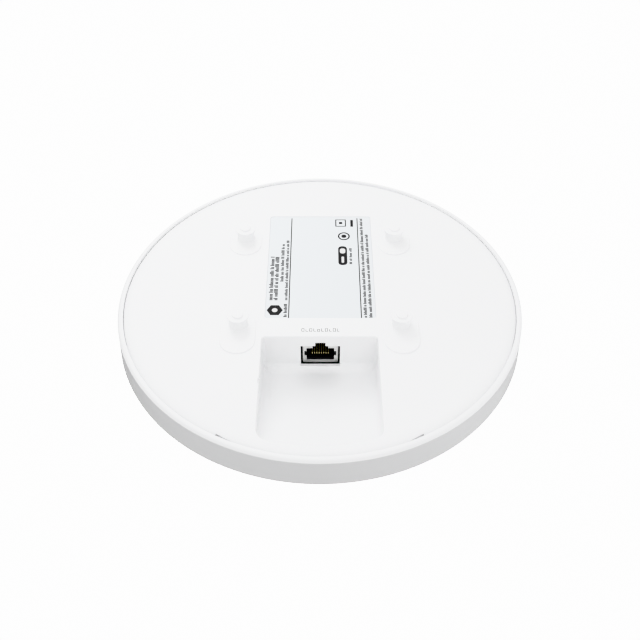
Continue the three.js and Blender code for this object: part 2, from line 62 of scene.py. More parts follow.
RIM = {"radius": 90, "z": 26.74, "seam": 87.46, "crown": 89.15}
FLARE = {"radius": 90.75, "z": 13.84, "round": 0.35}
DOME = {"flat": 51, "wall": 2.4}
LEDGE = {"radius": 85, "top": 25.4, "bottom": 22.7}
COVER = {
    "radius": 87.33,
    "edge_drop": 1.6,  # the back curves down towards the seam
    "edge_run": 5,
    "skirt_outer": 84.4,
    "skirt_inner": 82.6,
    "skirt_z": 20,
}
HOOK = {
    "angles": (18, 90, 162, 234, 306),
    "width": 12,
    "root": 83.6,
    "reach": 86.2,
    "top": 22.4,
    "tip": 21.7,
}

BAY = {
    "half_width": 25,
    "back_y": -24.65,
    "end_radius": 82.3,
    "floor_z": 7.5,
    "ramp_start_y": -38,
    "ramp_end_z": 24.5,
    "blend": 8,
    "back_corner": 1.5,
    "end_corner": 6,
    "fillet": 4.2,  # between the floor and the walls
    "rim_round": 0.5,
    "wall": 1.4,
}
HOLE = {"x": 0.25, "half": 8.55, "bottom": 9.84, "top": 21.65, "notch_half": 2.15, "notch_top": 23.81}
HOLE_EDGE = {"thickness": 0.5, "relief": 1.2, "ease": 0.25}  # thinned from behind, round the hole
PRY = {"places": ((242, 249), (298, 291)), "depth": 1.2, "height": 2.6, "thin": 0.05}
EDGE_NOTCH = {"from_y": -51, "to_y": -48, "width": 0.4, "depth": 1.5}

STUD = {
    "x": 35.3,
    "front_y": -18,
    "rear_y": 40,
    "stem": 4,
    "head": 4.7,
    "boss": 2.4,
    "boss_height": 0.7,
    "top": 35,
}
PAD = {"radius": 7.7, "height": 0.5, "round": 0.4, "front_y": -27.1, "rear_y": 35.7}
LABEL = {
    "x": 0.3,
    "y": 21.8,
    "width": 49,
    "length": 70.5,
    "corner": 1.2,
    "recess": 0.5,  # depth of the pocket that it sits in
    "film": 0.2,
    "lift": 0.1,
}
POST = {
    "places": ((58, 32), (-58, 32), (50, -42), (-50, -42)),
    "radius": 3.2,
    "bore": 1.5,
    "z": 9.34,
    "bore_top": 20.04,
}
LIGHT = {"y": 36, "radius": 1.5, "bottom": 0.15}

JACK = {
    "x": 0.25,
    "front": -22.95,
    "half": 7.9,
    "bottom": 9.34,
    "top": 22.74,
    "depth": 16.5,
    "sheet": 0.4,
}
PLUG = {
    "half": 6.05,
    "bottom": 11.3,
    "top": 18.66,
    "wide": 3.4,  # lower step for the latch
    "wide_top": 20.9,
    "narrow": 2.15,  # upper step
    "narrow_top": 22,
}
SIDE_NOTCH = {"half": 7, "bottom": 14.05, "top": 16.8}
CONTACT = {
    "count": 8,
    "pitch": 1.02,
    "width": 0.45,
    "thickness": 0.28,
    "pivot": (-19.4, 11.95),  # y and z of the front bend's centre
    "bend": 0.45,
    "slope": 20,  # degrees above the socket's floor
    "arm": 9.2,
    "tail": 2.4,
}


# ---------------------------------------------------------------- shapes


def arc(x, y, radius, start, end, steps):
    """Points on an arc, both ends included. Angles in degrees."""
    angles = [math.radians(start + (end - start) * i / steps) for i in range(steps + 1)]
    return [(x + radius * math.cos(a), y + radius * math.sin(a)) for a in angles]


def curve(start, middle, end, steps):
    """Points on a quadratic curve that leaves start towards middle and arrives at end from it."""
    points = []
    for i in range(steps + 1):
        t = i / steps
        ends = zip(start, middle, end)
        points.append(tuple((1 - t) ** 2 * a + 2 * t * (1 - t) * b + t * t * c for a, b, c in ends))
    return points


def rounded_rectangle(x, y, width, length, corner, steps=6):
    left, right = x - width / 2, x + width / 2
    front, rear = y - length / 2, y + length / 2
    return (
        arc(right - corner, front + corner, corner, -90, 0, steps)
        + arc(right - corner, rear - corner, corner, 0, 90, steps)
        + arc(left + corner, rear - corner, corner, 90, 180, steps)
        + arc(left + corner, front + corner, corner, 180, 270, steps)
    )


def level(outline, z):
    """An outline in plan as a ring at height z."""
    return [(x, y, z) for x, y in outline]


def upright(outline, y):
    """An outline seen from the front, in x and z, as a ring at that y."""
    return [(x, y, z) for x, z in outline]


def shape(verts, faces):
    """A solid, in millimetres, whose faces point out."""
    mesh = bpy.data.meshes.new("shape")
    mesh.from_pydata(verts, [], faces)
    work = bmesh.new()
    work.from_mesh(mesh)
    bmesh.ops.remove_doubles(work, verts=work.verts, dist=1e-4)
    bmesh.ops.recalc_face_normals(work, faces=work.faces)
    work.to_mesh(mesh)
    work.free()
    obj = bpy.data.objects.new("shape", mesh)
    scene.collection.objects.link(obj)
    return obj


def turned(profile, segments=SEGMENTS, closed=False, place=(0, 0)):
    """A solid of revolution. Its (radius, z) points run from the axis to the axis, or form a closed loop."""
    verts, rings, faces = [], [], []
    turns = [math.tau * i / segments for i in range(segments)]
    for radius, z in profile:
        first = len(verts)
        if radius == 0:
            verts.append((place[0], place[1], z))
            rings.append([first] * segments)
        else:
            verts += [(place[0] + radius * math.cos(t), place[1] + radius * math.sin(t), z) for t in turns]
            rings.append(list(range(first, first + segments)))
    pairs = list(zip(rings, rings[1:]))
    if closed:
        pairs.append((rings[-1], rings[0]))
    for low, high in pairs:
        for i in range(segments):
            j = (i + 1) % segments
            faces.append(list(dict.fromkeys((low[i], low[j], high[j], high[i]))))
    return shape(verts, faces)


def stacked(rings):
    """A solid through rings of equally many points, closed by a flat cap at each end."""
    count = len(rings[0])
    verts = [p for ring in rings for p in ring]
    faces = [list(range(count)), list(range(len(verts) - count, len(verts)))]
    for k in range(len(rings) - 1):
        for i in range(count):
            j = (i + 1) % count
            faces.append([k * count + i, k * count + j, (k + 1) * count + j, (k + 1) * count + i])
    return shape(verts, faces)


def block(from_x, to_x, from_y, to_y, from_z, to_z):
    outline = [(from_x, from_y), (to_x, from_y), (to_x, to_y), (from_x, to_y)]
    return stacked([level(outline, from_z), level(outline, to_z)])


def rod(x, y, radius, from_z, to_z):
    return turned([(0, from_z), (radius, from_z), (radius, to_z), (0, to_z)], SMALL_SEGMENTS, place=(x, y))


def sliced(obj, from_y, to_y, step):
    """Adds edges across the solid at even steps of y, so that it can follow a curve."""
    work = bmesh.new()
    work.from_mesh(obj.data)
    for i in range(round((to_y - from_y) / step) + 1):
        everything = work.verts[:] + work.edges[:] + work.faces[:]
        cut = (0, from_y + i * step, 0)
        bmesh.ops.bisect_plane(work, geom=everything, dist=1e-4, plane_co=cut, plane_no=(0, 1, 0))
    work.to_mesh(obj.data)
    work.free()
    return obj


def combine(base, operation, tools):
    """Joins the tools to a solid or cuts them from it, one after another."""
    for tool in tools:
        step = base.modifiers.new("step", "BOOLEAN")
        step.operation = operation
        step.solver = "MANIFOLD"
        step.object = tool
    bpy.context.view_layer.update()
    evaluated = base.evaluated_get(bpy.context.evaluated_depsgraph_get())
    result = bpy.data.meshes.new_from_object(evaluated)
    base.modifiers.clear()
    base.data = result
    for tool in tools:
        bpy.data.objects.remove(tool)
    return base


def joined(name, parts):
    """Several solids that don't touch, as one object."""
    work = bmesh.new()
    for part in parts:
        work.from_mesh(part.data)
        bpy.data.objects.remove(part)
    mesh = bpy.data.meshes.new(name)
    work.to_mesh(mesh)
    work.free()
    obj = bpy.data.objects.new(name, mesh)
    scene.collection.objects.link(obj)
    return obj


def piece(name, obj, body, material, stands_for=(), crease=32):
    """Turns a finished shape into a named piece of the object: metres, smooth shading, finish and body."""
    obj.name = name
    obj.data.name = name
    obj.data.transform(Matrix.Scale(MM, 4))
    obj.data.materials.clear()
    obj.data.materials.append(material)
    obj.data.shade_smooth()
    obj.data.set_sharp_from_angle(angle=math.radians(crease))
    normals = obj.modifiers.new("normals", "WEIGHTED_NORMAL")
    normals.keep_sharp = True
    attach(obj, body)
    if stands_for:
        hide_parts(*stands_for)
    return obj


# ---------------------------------------------------------------- materials


class Nodes:
    """A material's node tree, with short ways to add the nodes that the finishes below share."""

    def __init__(self, name):
        self.material = bpy.data.materials.new(name)
        self.material.use_nodes = True
        self.tree = self.material.node_tree
        self.shader = self.tree.nodes["Principled BSDF"]
        self.place = self.tree.nodes.new("ShaderNodeTexCoord").outputs["Object"]

    def link(self, source, target):
        self.tree.links.new(source, target)

    def stretched(self, x, y, z):
        """Object coordinates scaled along each axis, for a grain with a direction."""
        mapping = self.tree.nodes.new("ShaderNodeMapping")
        mapping.inputs["Scale"].default_value = (x, y, z)
        self.link(self.place, mapping.inputs["Vector"])
        return mapping.outputs["Vector"]

    def noise(self, size, detail=2.0, roughness=0.5, vector=None):
        """Soft noise whose features are about size millimetres across."""
        noise = self.tree.nodes.new("ShaderNodeTexNoise")
        noise.inputs["Scale"].default_value = 1 / (size * MM)
        noise.inputs["Detail"].default_value = detail
        noise.inputs["Roughness"].default_value = roughness
        self.link(vector or self.place, noise.inputs["Vector"])
        return noise.outputs["Fac"]

    def cells(self, size):
        """Small rounded cells, for the pebbled grain of a spark-eroded mould."""
        cells = self.tree.nodes.new("ShaderNodeTexVoronoi")
        cells.feature = "SMOOTH_F1"
        cells.inputs["Scale"].default_value = 1 / (size * MM)
        self.link(self.place, cells.inputs["Vector"])
        return cells.outputs["Distance"]

    def between(self, factor, low, high):
        """A value that runs from low to high as the factor runs over the middle of its range."""
        span = self.tree.nodes.new("ShaderNodeMapRange")
        span.inputs["From Min"].default_value = 0.3
        span.inputs["From Max"].default_value = 0.7
        span.inputs["To Min"].default_value = low
        span.inputs["To Max"].default_value = high
        self.link(factor, span.inputs["Value"])
        return span.outputs["Result"]

    def mixed(self, factor, first, second):
        """A colour between two colours."""
        mix = self.tree.nodes.new("ShaderNodeMix")
        mix.data_type = "RGBA"
        mix.inputs["A"].default_value = (*first, 1)
        mix.inputs["B"].default_value = (*second, 1)
        self.link(factor, mix.inputs["Factor"])
        return mix.outputs["Result"]

    def colour(self, source):
        self.link(source, self.shader.inputs["Base Color"])

    def roughness(self, source):
        self.link(source, self.shader.inputs["Roughness"])

    def bump(self, *layers):
        """Height layers of (source, depth in millimetres), one on top of another."""
        below = None
        for source, depth in layers:
            bump = self.tree.nodes.new("ShaderNodeBump")
            bump.inputs["Strength"].default_value = 1
            bump.inputs["Distance"].default_value = depth * MM
            self.link(source, bump.inputs["Height"])
            if below:
                self.link(below, bump.inputs["Normal"])
            below = bump.outputs["Normal"]
        self.link(below, self.shader.inputs["Normal"])

    def fixed(self, **values):
        for socket, value in values.items():
            self.shader.inputs[socket.replace("_", " ")].default_value = value


def tinted(colour, factor):
    return tuple(c * factor for c in colour)


def satin_plastic(name, colour, rough=(0.36, 0.46), grain=0.0016):
    """Moulded plastic: a fine spark-eroded grain, faint flow variation, and slightly uneven gloss."""
    n = Nodes(name)
    n.colour(n.mixed(n.between(n.noise(24, 3), 0, 1), tinted(colour, 0.988), colour))
    n.roughness(n.between(n.noise(0.9, 3, 0.6), *rough))
    n.bump((n.noise(9, 2), 0.004), (n.cells(0.22), grain), (n.noise(0.1, 2), grain * 0.6))
    n.fixed(IOR=1.5, Specular_IOR_Level=0.45)
    return n.material


def printed_film(name, colour):
    """Matte polyester label: smooth, with a faint coating texture and the ripple of the glue under it."""
    n = Nodes(name)
    n.colour(n.mixed(n.between(n.noise(0.35, 3), 0, 1), tinted(colour, 0.985), colour))
    n.roughness(n.between(n.noise(0.6, 2), 0.42, 0.52))
    n.bump((n.noise(14, 2), 0.012), (n.noise(0.15, 2), 0.0008))
    n.fixed(IOR=1.48)
    return n.material


def ink(name, colour):
    """Printed ink: a little uneven in cover, matte."""
    n = Nodes(name)
    n.colour(n.mixed(n.between(n.noise(0.25, 3), 0, 1), colour, tuple(c + 0.02 for c in colour)))
    n.roughness(n.between(n.noise(0.4, 2), 0.5, 0.6))
    n.bump((n.noise(0.12, 2), 0.0008))
    n.fixed(Specular_IOR_Level=0.25)
    return n.material


def plated_sheet(name, colour, rough, along="x"):
    """Rolled and plated sheet metal, with the fine lines of the rolling along one axis."""
    n = Nodes(name)
    scales = {"x": (0.06, 1, 1), "y": (1, 0.06, 1)}[along]
    lines = n.noise(0.12, 4, 0.7, n.stretched(*scales))
    n.colour(n.mixed(n.between(n.noise(3, 3), 0, 1), tinted(colour, 0.9), colour))
    n.roughness(n.between(lines, *rough))
    n.bump((lines, 0.0015), (n.noise(1.5, 2), 0.003))
    n.fixed(Metallic=1.0)
    return n.material


def moulded_black(name, colour, rough):
    """Glass-filled or epoxy moulding: dark, with a grain of pale specks."""
    n = Nodes(name)
    n.colour(n.mixed(n.between(n.noise(0.3, 4, 0.7), 0, 1), colour, tuple(c * 1.6 + 0.004 for c in colour)))
    n.roughness(n.between(n.noise(0.5, 3), *rough))
    n.bump((n.noise(0.2, 3), 0.004), (n.cells(0.35), 0.003))
    return n.material


def solder_mask(name):
    """Near-black green solder mask over copper, whose tracks show as a slightly lighter, raised grid."""
    n = Nodes(name)
    runs = n.tree.nodes.new("ShaderNodeTexBrick")
    runs.inputs["Scale"].default_value = 240
    runs.inputs["Mortar Size"].default_value = 0.03
    runs.inputs["Mortar Smooth"].default_value = 0.3
    runs.inputs["Color1"].default_value = (0.004, 0.012, 0.009, 1)
    runs.inputs["Color2"].default_value = (0.005, 0.015, 0.011, 1)
    runs.inputs["Mortar"].default_value = (0.009, 0.026, 0.019, 1)
    n.link(n.place, runs.inputs["Vector"])
    n.colour(runs.outputs["Color"])
    n.roughness(n.between(n.noise(1.2, 2), 0.3, 0.42))
    n.bump((runs.outputs["Fac"], 0.02), (n.noise(0.6, 2), 0.003))
    return n.material


def clear_plastic(name):
    """Frosted polycarbonate of the light pipe."""
    n = Nodes(name)
    n.colour(n.mixed(n.between(n.noise(0.8, 2), 0, 1), (0.86, 0.9, 0.92), (0.92, 0.95, 0.96)))
    n.roughness(n.between(n.noise(0.4, 2), 0.18, 0.28))
    n.bump((n.noise(0.3, 2), 0.002))
    n.fixed(Transmission_Weight=0.6, IOR=1.58)
    return n.material


WHITE = (0.90, 0.902, 0.906)
white = satin_plastic("white_plastic", WHITE)
film = printed_film("label_film", (0.77, 0.79, 0.805))
black_ink = ink("label_ink", (0.012, 0.012, 0.013))
grey_ink = ink("legend_ink", (0.1, 0.1, 0.1))
white_ink = ink("label_white_ink", (0.72, 0.72, 0.72))
tin = plated_sheet("tin_plate", (0.86, 0.86, 0.85), (0.42, 0.55))
gold = plated_sheet("gold", (0.86, 0.76, 0.48), (0.28, 0.38), "y")

finishes = {
    "white_plastic": white,
    "label_film": film,
    "tin_plate": tin,
    "black_plastic": moulded_black("black_plastic", (0.010, 0.010, 0.011), (0.45, 0.6)),
    "gold": gold,
    "circuit_board": solder_mask("circuit_board"),
    "chip": moulded_black("chip", (0.018, 0.018, 0.02), (0.5, 0.62)),
    "ferrite": moulded_black("ferrite", (0.04, 0.036, 0.033), (0.6, 0.75)),
    "capacitor_can": plated_sheet("capacitor_can", (0.7, 0.71, 0.73), (0.25, 0.36)),
    "aluminium": plated_sheet("aluminium", (0.66, 0.67, 0.68), (0.32, 0.45), "y"),
    "thermal_pad": satin_plastic("thermal_pad", (0.35, 0.45, 0.55), (0.8, 0.9), 0.01),
    "steel": plated_sheet("steel", (0.6, 0.61, 0.62), (0.25, 0.38)),
    "clear_plastic": clear_plastic("clear_plastic"),
}

for part in frame["record"]["subparts"]:
    node = frame["nodes"][part["node"]]
    node.data.materials.clear()
    node.data.materials.append(finishes[part["material_slot"]])


# ---------------------------------------------------------------- front cover


def front_cover():
    """One moulding: the domed front, the flared side wall, the rim and the ledge inside it."""
    run = FLARE["radius"] - DOME["flat"]
    dome = (run**2 + FLARE["z"] ** 2) / (2 * FLARE["z"])
    edge = math.degrees(math.asin(run / dome))
    seam, rim, rim_z = RIM["seam"], RIM["radius"], RIM["z"]
    inner = FLARE["radius"] - DOME["wall"] - 0.3
    inner_dome = dome - DOME["wall"]
    inner_edge = math.degrees(math.asin((inner - DOME["flat"]) / inner_dome))
    outside = arc(DOME["flat"], dome, dome, -90, -90 + edge, 26)
    before, corner = outside[-2], outside[-1]
    soft = FLARE["round"]
    slope = math.atan2(corner[1] - before[1], corner[0] - before[0])
    lean = math.atan2(rim_z - corner[1], rim - corner[0])
    below = (corner[0] - soft * math.cos(slope), corner[1] - soft * math.sin(slope))
    above = (corner[0] + soft * math.cos(lean), corner[1] + soft * math.sin(lean))
    profile = [(0, 0)] + outside[:-1] + curve(below, corner, above, 4)
    profile += curve((rim + 0.02, rim_z - 0.3), (rim, rim_z), (rim - 0.2, rim_z + 0.14), 3)
    profile += curve((rim - 0.35, rim_z + 0.27), (RIM["crown"], BACK_Z - 0.02), (seam + 0.2, BACK_Z), 7)
    profile += curve((seam + 0.12, BACK_Z - 0.01), (seam, BACK_Z), (seam, BACK_Z - 0.15), 3)
    profile += [(seam, LEDGE["top"]), (LEDGE["radius"], LEDGE["top"])]
    profile += [(LEDGE["radius"], LEDGE["bottom"]), (inner, LEDGE["bottom"])]
    profile += arc(DOME["flat"], dome, inner_dome, -90 + inner_edge, -90, 16)
    profile += [(0, DOME["wall"])]
    hole = LIGHT["radius"] + 0.2
    bore = turned(
        [(0, -1), (hole + 0.5, -1), (hole + 0.5, -0.01)]
        + curve((hole + 0.2, 0.0), (hole, 0.0), (hole, 0.25), 4)
        + [(hole, 5), (0, 5)],
        SMALL_SEGMENTS,
        place=(0, LIGHT["y"]),
    )
    return combine(turned(profile), "DIFFERENCE", [bore])


piece("front_cover_shell", front_cover(), "housing", white, ["front_cover"], 28)


# ---------------------------------------------------------------- rear cover


def cover_plate():
    """The flat back, rounded off where it meets the seam."""
    edge = (COVER["radius"], BACK_Z - COVER["edge_drop"])
    shoulder = (COVER["radius"] - COVER["edge_run"], BACK_Z)
    bend = (COVER["radius"] - COVER["edge_run"] / 4, BACK_Z)
    round_off = curve(edge, bend, shoulder, 12)
    return turned([(0, INSIDE_Z), (COVER["radius"], INSIDE_Z)] + round_off + [(0, BACK_Z)])


def skirt():
    inner, outer = COVER["skirt_inner"], COVER["skirt_outer"]
    low, high = COVER["skirt_z"], INSIDE_Z + BITE
    bevel = 0.4
    loop = [(inner, low + bevel), (outer - bevel, low), (outer, low + bevel), (outer, high), (inner, high)]
    return turned(loop, closed=True)


def snap_hook(angle):
    """A barb on the skirt that catches under the front cover's ledge."""
    half = HOOK["width"] / 2
    outline = [
        (HOOK["root"], COVER["skirt_z"] + 0.2),
        (HOOK["reach"], HOOK["tip"]),
        (HOOK["reach"], HOOK["top"]),
        (HOOK["root"], HOOK["top"]),
    ]
    barb = stacked([upright(outline, -half), upright(outline, half)])
    barb.data.transform(Matrix.Rotation(math.radians(angle), 4, "Z"))
    return barb


def bay_plan(growth):
    """Plan outline of the cable bay, grown outwards, or inwards where growth is below zero."""
    side = BAY["half_width"] + growth
    back = BAY["back_y"] + growth
    end = BAY["end_radius"] + growth
    smallest = 0.3
    back_corner = max(BAY["back_corner"] + growth, smallest)
    end_corner = max(BAY["end_corner"] + growth, smallest)
    x = side - end_corner
    y = -math.sqrt((end - end_corner) ** 2 - x**2)
    angle = math.degrees(math.atan2(y, x))
    return (
        arc(side - back_corner, back - back_corner, back_corner, 0, 90, 6)
        + arc(-side + back_corner, back - back_corner, back_corner, 90, 180, 6)
        + arc(-x, y, end_corner, 180, 180 - angle, 8)
        + arc(0, 0, end, -180 - angle, angle, 24)[1:-1]
        + arc(x, y, end_corner, angle, 0, 8)
    )


def floor_height(y):
    """Height of the bay's floor: level by the socket, then a soft curve into a ramp up to the edge."""
    start, blend = BAY["ramp_start_y"], BAY["blend"]
    slope = (BAY["ramp_end_z"] - BAY["floor_z"]) / (BAY["end_radius"] + start)
    into = start + blend - y
    if into <= 0:
        return BAY["floor_z"]
    if into <= 2 * blend:
        return BAY["floor_z"] + slope * into**2 / (4 * blend)
    return BAY["floor_z"] + slope * (start - y)


def ramp_lift(obj, top, squeeze, drop=0.0):
    """Lifts a solid's points below top onto the bay's floor. Squeeze lowers its fillet along the ramp."""
    floor, rise = BAY["floor_z"], BAY["ramp_end_z"] - BAY["floor_z"]
    for vert in obj.data.vertices:
        x, y, z = vert.co
        if z <= top:
            height = floor_height(y)
            along = (height - floor) / rise
            vert.co = (x, y, height - drop + z * (1 - squeeze * min(along, 1)))
    return obj


def bay_pocket():
    """The space of the bay: a filleted floor, upright walls, and a rounded rim."""
    fillet, soft = BAY["fillet"], BAY["rim_round"]
    rings = []
    for i in range(8):
        a = math.radians(90 * i / 7)
        rings.append(level(bay_plan(-fillet * (1 - math.sin(a))), fillet * (1 - math.cos(a))))
    for i in range(5):
        a = math.radians(90 * i / 4)
        rings.append(level(bay_plan(soft * (1 - math.cos(a))), BACK_Z - soft + (soft + 0.002) * math.sin(a)))
    rings.append(level(bay_plan(soft), BACK_Z + 2))
    pocket = sliced(stacked(rings), -84, BAY["ramp_start_y"] + BAY["blend"], 1)
    return ramp_lift(pocket, fillet + 0.01, 0.5)


def bay_shell():
    """The wall round the bay, as seen from inside the housing, still without its hollow."""
    wall = BAY["wall"]
    shell = stacked([level(bay_plan(wall), 0), level(bay_plan(wall), INSIDE_Z + BITE)])
    return ramp_lift(sliced(shell, -84, BAY["ramp_start_y"] + BAY["blend"], 2), 1, 0, wall)


def jack_hole():
    """The hole in the bay's back wall, with a notch for the plug's latch and an eased front edge."""
    x, half, bottom, top = HOLE["x"], HOLE["half"], HOLE["bottom"], HOLE["top"]
    notch, notch_top = HOLE["notch_half"], HOLE["notch_top"]

    def outline(growth):
        side, inner = half + growth, notch + growth
        right = [(side, bottom - growth), (side, top + growth)]
        right += [(inner, top + growth), (inner, notch_top + growth)]
        left = [(-px, pz) for px, pz in reversed(right)]
        return [(x + px, pz) for px, pz in right + left]

    face, ease = BAY["back_y"], HOLE_EDGE["ease"]
    rings = [upright(outline(ease + 0.05), face - 6)]
    for a in (0, 0.4, 0.8, 1.2, math.pi / 2):
        rings.append(upright(outline(ease * (1 - math.sin(a))), face + ease * (1 - math.cos(a))))
    rings.append(upright(outline(0), face + BAY["wall"] + 1))
    return stacked(rings)


def hole_relief():
    """The hollow behind the hole's edge, inside the housing."""
    reach = HOLE["half"] + HOLE_EDGE["relief"]
    front = BAY["back_y"] + HOLE_EDGE["thickness"]
    low, high = HOLE["bottom"] - HOLE_EDGE["relief"], HOLE["notch_top"] + HOLE_EDGE["relief"] / 2
    return block(HOLE["x"] - reach, HOLE["x"] + reach, front, front + BAY["wall"], low, high)


def raised_pad(x, stud_y, pad_y):
    """The pad under a stud: a slot-shaped plateau with a rounded edge."""
    front, rear = min(stud_y, pad_y), max(stud_y, pad_y)
    top, soft = BACK_Z + PAD["height"], PAD["round"]

    def outline(inset):
        radius = PAD["radius"] - inset
        return arc(x, front, radius, 180, 360, 28) + arc(x, rear, radius, 0, 180, 28)

    rings = [level(outline(0), BACK_Z - BITE)]
    for i in range(6):
        a = math.radians(90 * i / 5)
        rings.append(level(outline(soft * (1 - math.cos(a))), top - soft + soft * math.sin(a)))
    return stacked(rings)


def mushroom_stud(x, y):
    """A stud for a keyhole: filleted foot, stem, head with a sloping underside, and a low boss on top."""
    foot, stem, head, boss = BACK_Z + PAD["height"], STUD["stem"], STUD["head"], STUD["boss"]
    top = STUD["top"]
    head_top = top - STUD["boss_height"]
    profile = [(0, foot - BITE), (stem + 0.7, foot - BITE)]
    profile += curve((stem + 0.7, foot), (stem - 0.05, foot + 0.05), (stem - 0.05, foot + 0.8), 6)
    profile += curve((stem, head_top - 3.2), (stem + 0.05, head_top - 2.2), (head - 0.2, head_top - 0.95), 8)
    profile += curve((head - 0.08, head_top - 0.85), (head, head_top - 0.78), (head, head_top - 0.6), 3)
    profile += curve((head, head_top - 0.3), (head, head_top), (head - 0.3, head_top), 5)
    profile += curve((boss + 0.4, head_top), (boss + 0.1, head_top), (boss + 0.05, head_top + 0.2), 3)
    profile += curve((boss, top - 0.2), (boss, top), (boss - 0.2, top), 3)
    profile += [(0, top)]
    return turned(profile, SMALL_SEGMENTS, place=(x, y))


def pry_notch(deep_angle, thin_angle):
    """A cut in the cover's edge for an opening tool: deep at one end, running out at the other."""
    edge, steps = COVER["radius"] + 1, 8
    low, high = BACK_Z - PRY["height"], BACK_Z + 1
    rings = []
    for i in range(steps + 1):
        share = i / steps
        angle = math.radians(deep_angle + (thin_angle - deep_angle) * share)
        inner = COVER["radius"] - PRY["thin"] - PRY["depth"] * (1 - share) ** 0.8
        across = ((inner, high), (inner, low), (edge, low), (edge, high))
        rings.append([(r * math.cos(angle), r * math.sin(angle), z) for r, z in across])
    return stacked(rings)


def edge_notch():
    """The small notch in the left edge of the bay."""
    side = -BAY["half_width"]
    outer, bottom = side - EDGE_NOTCH["width"] - 0.2, BACK_Z - EDGE_NOTCH["depth"]
    return block(outer, side + 1, EDGE_NOTCH["from_y"], EDGE_NOTCH["to_y"], bottom, BACK_Z + 1)


def label_outline(growth, corner):
    """The label's outline in plan, grown outwards, or inwards where growth is below zero."""
    width, length = LABEL["width"] + 2 * growth, LABEL["length"] + 2 * growth
    return rounded_rectangle(LABEL["x"], LABEL["y"], width, length, corner)


def label_recess():
    """The shallow pocket for the label, with a broken edge."""
    bottom, corner = BACK_Z - LABEL["recess"], LABEL["corner"]
    sizes = ((-0.1, bottom), (0, bottom + 0.06), (0, BACK_Z - 0.08))
    sizes += ((0.08, BACK_Z + 0.002), (0.08, BACK_Z + 1))
    return stacked([level(label_outline(g, corner + g), z) for g, z in sizes])


def rear_cover():
    """One moulding: the flat back with its bay, label recess, pads, studs, skirt, hooks and board posts."""
    posts = [rod(x, y, POST["radius"], POST["z"], INSIDE_Z + BITE) for x, y in POST["places"]]
    hooks = [snap_hook(angle) for angle in HOOK["angles"]]
    body = combine(cover_plate(), "UNION", [skirt(), bay_shell()] + hooks + posts)
    bores = [rod(x, y, POST["bore"], POST["z"] - 1, POST["bore_top"]) for x, y in POST["places"]]
    notches = [pry_notch(*place) for place in PRY["places"]] + [edge_notch()]
    hollows = [bay_pocket(), jack_hole(), hole_relief(), label_recess()]
    body = combine(body, "DIFFERENCE", hollows + bores + notches)
    front, rear = STUD["front_y"], STUD["rear_y"]
    raised = []
    for x in (-STUD["x"], STUD["x"]):
        raised += [raised_pad(x, front, PAD["front_y"]), raised_pad(x, rear, PAD["rear_y"])]
        raised += [mushroom_stud(x, front), mushroom_stud(x, rear)]
    return combine(body, "UNION", raised)


piece("rear_cover_shell", rear_cover(), "housing", white, ["rear_cover"], 30)


# ---------------------------------------------------------------- label and its print


def label_film():
    """The sticker: a thin sheet with a softened upper edge."""
    bottom = BACK_Z - LABEL["recess"] + LABEL["lift"]
    top = bottom + LABEL["film"]
    sizes = ((0.08, bottom), (0.08, top - 0.05), (0.1, top - 0.015), (0.14, top))
    return stacked([level(label_outline(-g, LABEL["corner"]), z) for g, z in sizes])


piece("rating_label_film", label_film(), "housing", film, ["rating_label"])

LEGEND = {"x": 0.35, "y": -20.75, "count": 10, "pitch": 1.7, "height": 1.9, "line": 0.24}
FILM_TOP = BACK_Z - LABEL["recess"] + LABEL["lift"] + LABEL["film"]
INK = 0.012  # thickness of printed ink
INK_LIFT = 0.002  # its height over what it is printed on
RULE = {"places": (-13.7, 18.3), "y": 21.0, "width": 0.45, "length": 69.8}
HEXAGON = {"x": -19.95, "y": -8.4, "radius": 3.6, "hole": 1.25}
ROUND_MARK = {"x": 11.6, "y": 42.2, "radius": 2.9, "line": 0.7}
BOX_MARK = {"x": 10.2, "y": 52.2, "width": 5.2, "length": 5.4, "line": 0.5}
BADGE = {"x": 10.8, "y": 28.1, "width": 4.2, "length": 13.4, "corner": 1.6}


def flat(outline, base, layer=0):
    """A thin printed patch over an outline in plan."""
    low = base + INK_LIFT + layer * INK
    return stacked([level(outline, low), level(outline, low + INK)])


def bar(x, y, width, length, base=FILM_TOP, layer=0, corner=0.08):
    """A printed bar with rounded corners."""
    return flat(rounded_rectangle(x, y, width, length, corner, 2), base, layer)


def ring(x, y, radius, width):
    """A printed ring on the label."""
    low, inner = FILM_TOP + INK_LIFT, radius - width
    loop = [(inner, low), (radius, low), (radius, low + INK), (inner, low + INK)]
    return turned(loop, 40, closed=True, place=(x, y))


def frame_mark(x, y, width, length, line, base=FILM_TOP):
    """The outline of a box."""
    sides = [bar(x, y + way * (length - line) / 2, width, line, base) for way in (-1, 1)]
    uprights = [bar(x + way * (width - line) / 2, y, line, length - 2 * line - 0.02, base) for way in (-1, 1)]
    return sides + uprights


def greeked(x, start, end, height, letter, draw):
    """A line of text shown as small blocks in word-long runs, which stand for letters without being any."""
    blocks, at, run = [], start, draw.randint(2, 7)
    step = letter * 1.42
    while at + letter <= end:
        tall = height if draw.random() < 0.35 else height * 0.72
        shift = (tall - height) / 2
        blocks.append(bar(x - shift, at + letter / 2, tall, letter))
        at += step
        run -= 1
        if run == 0:
            at += step * 0.8
            run = draw.randint(2, 8)
    return blocks


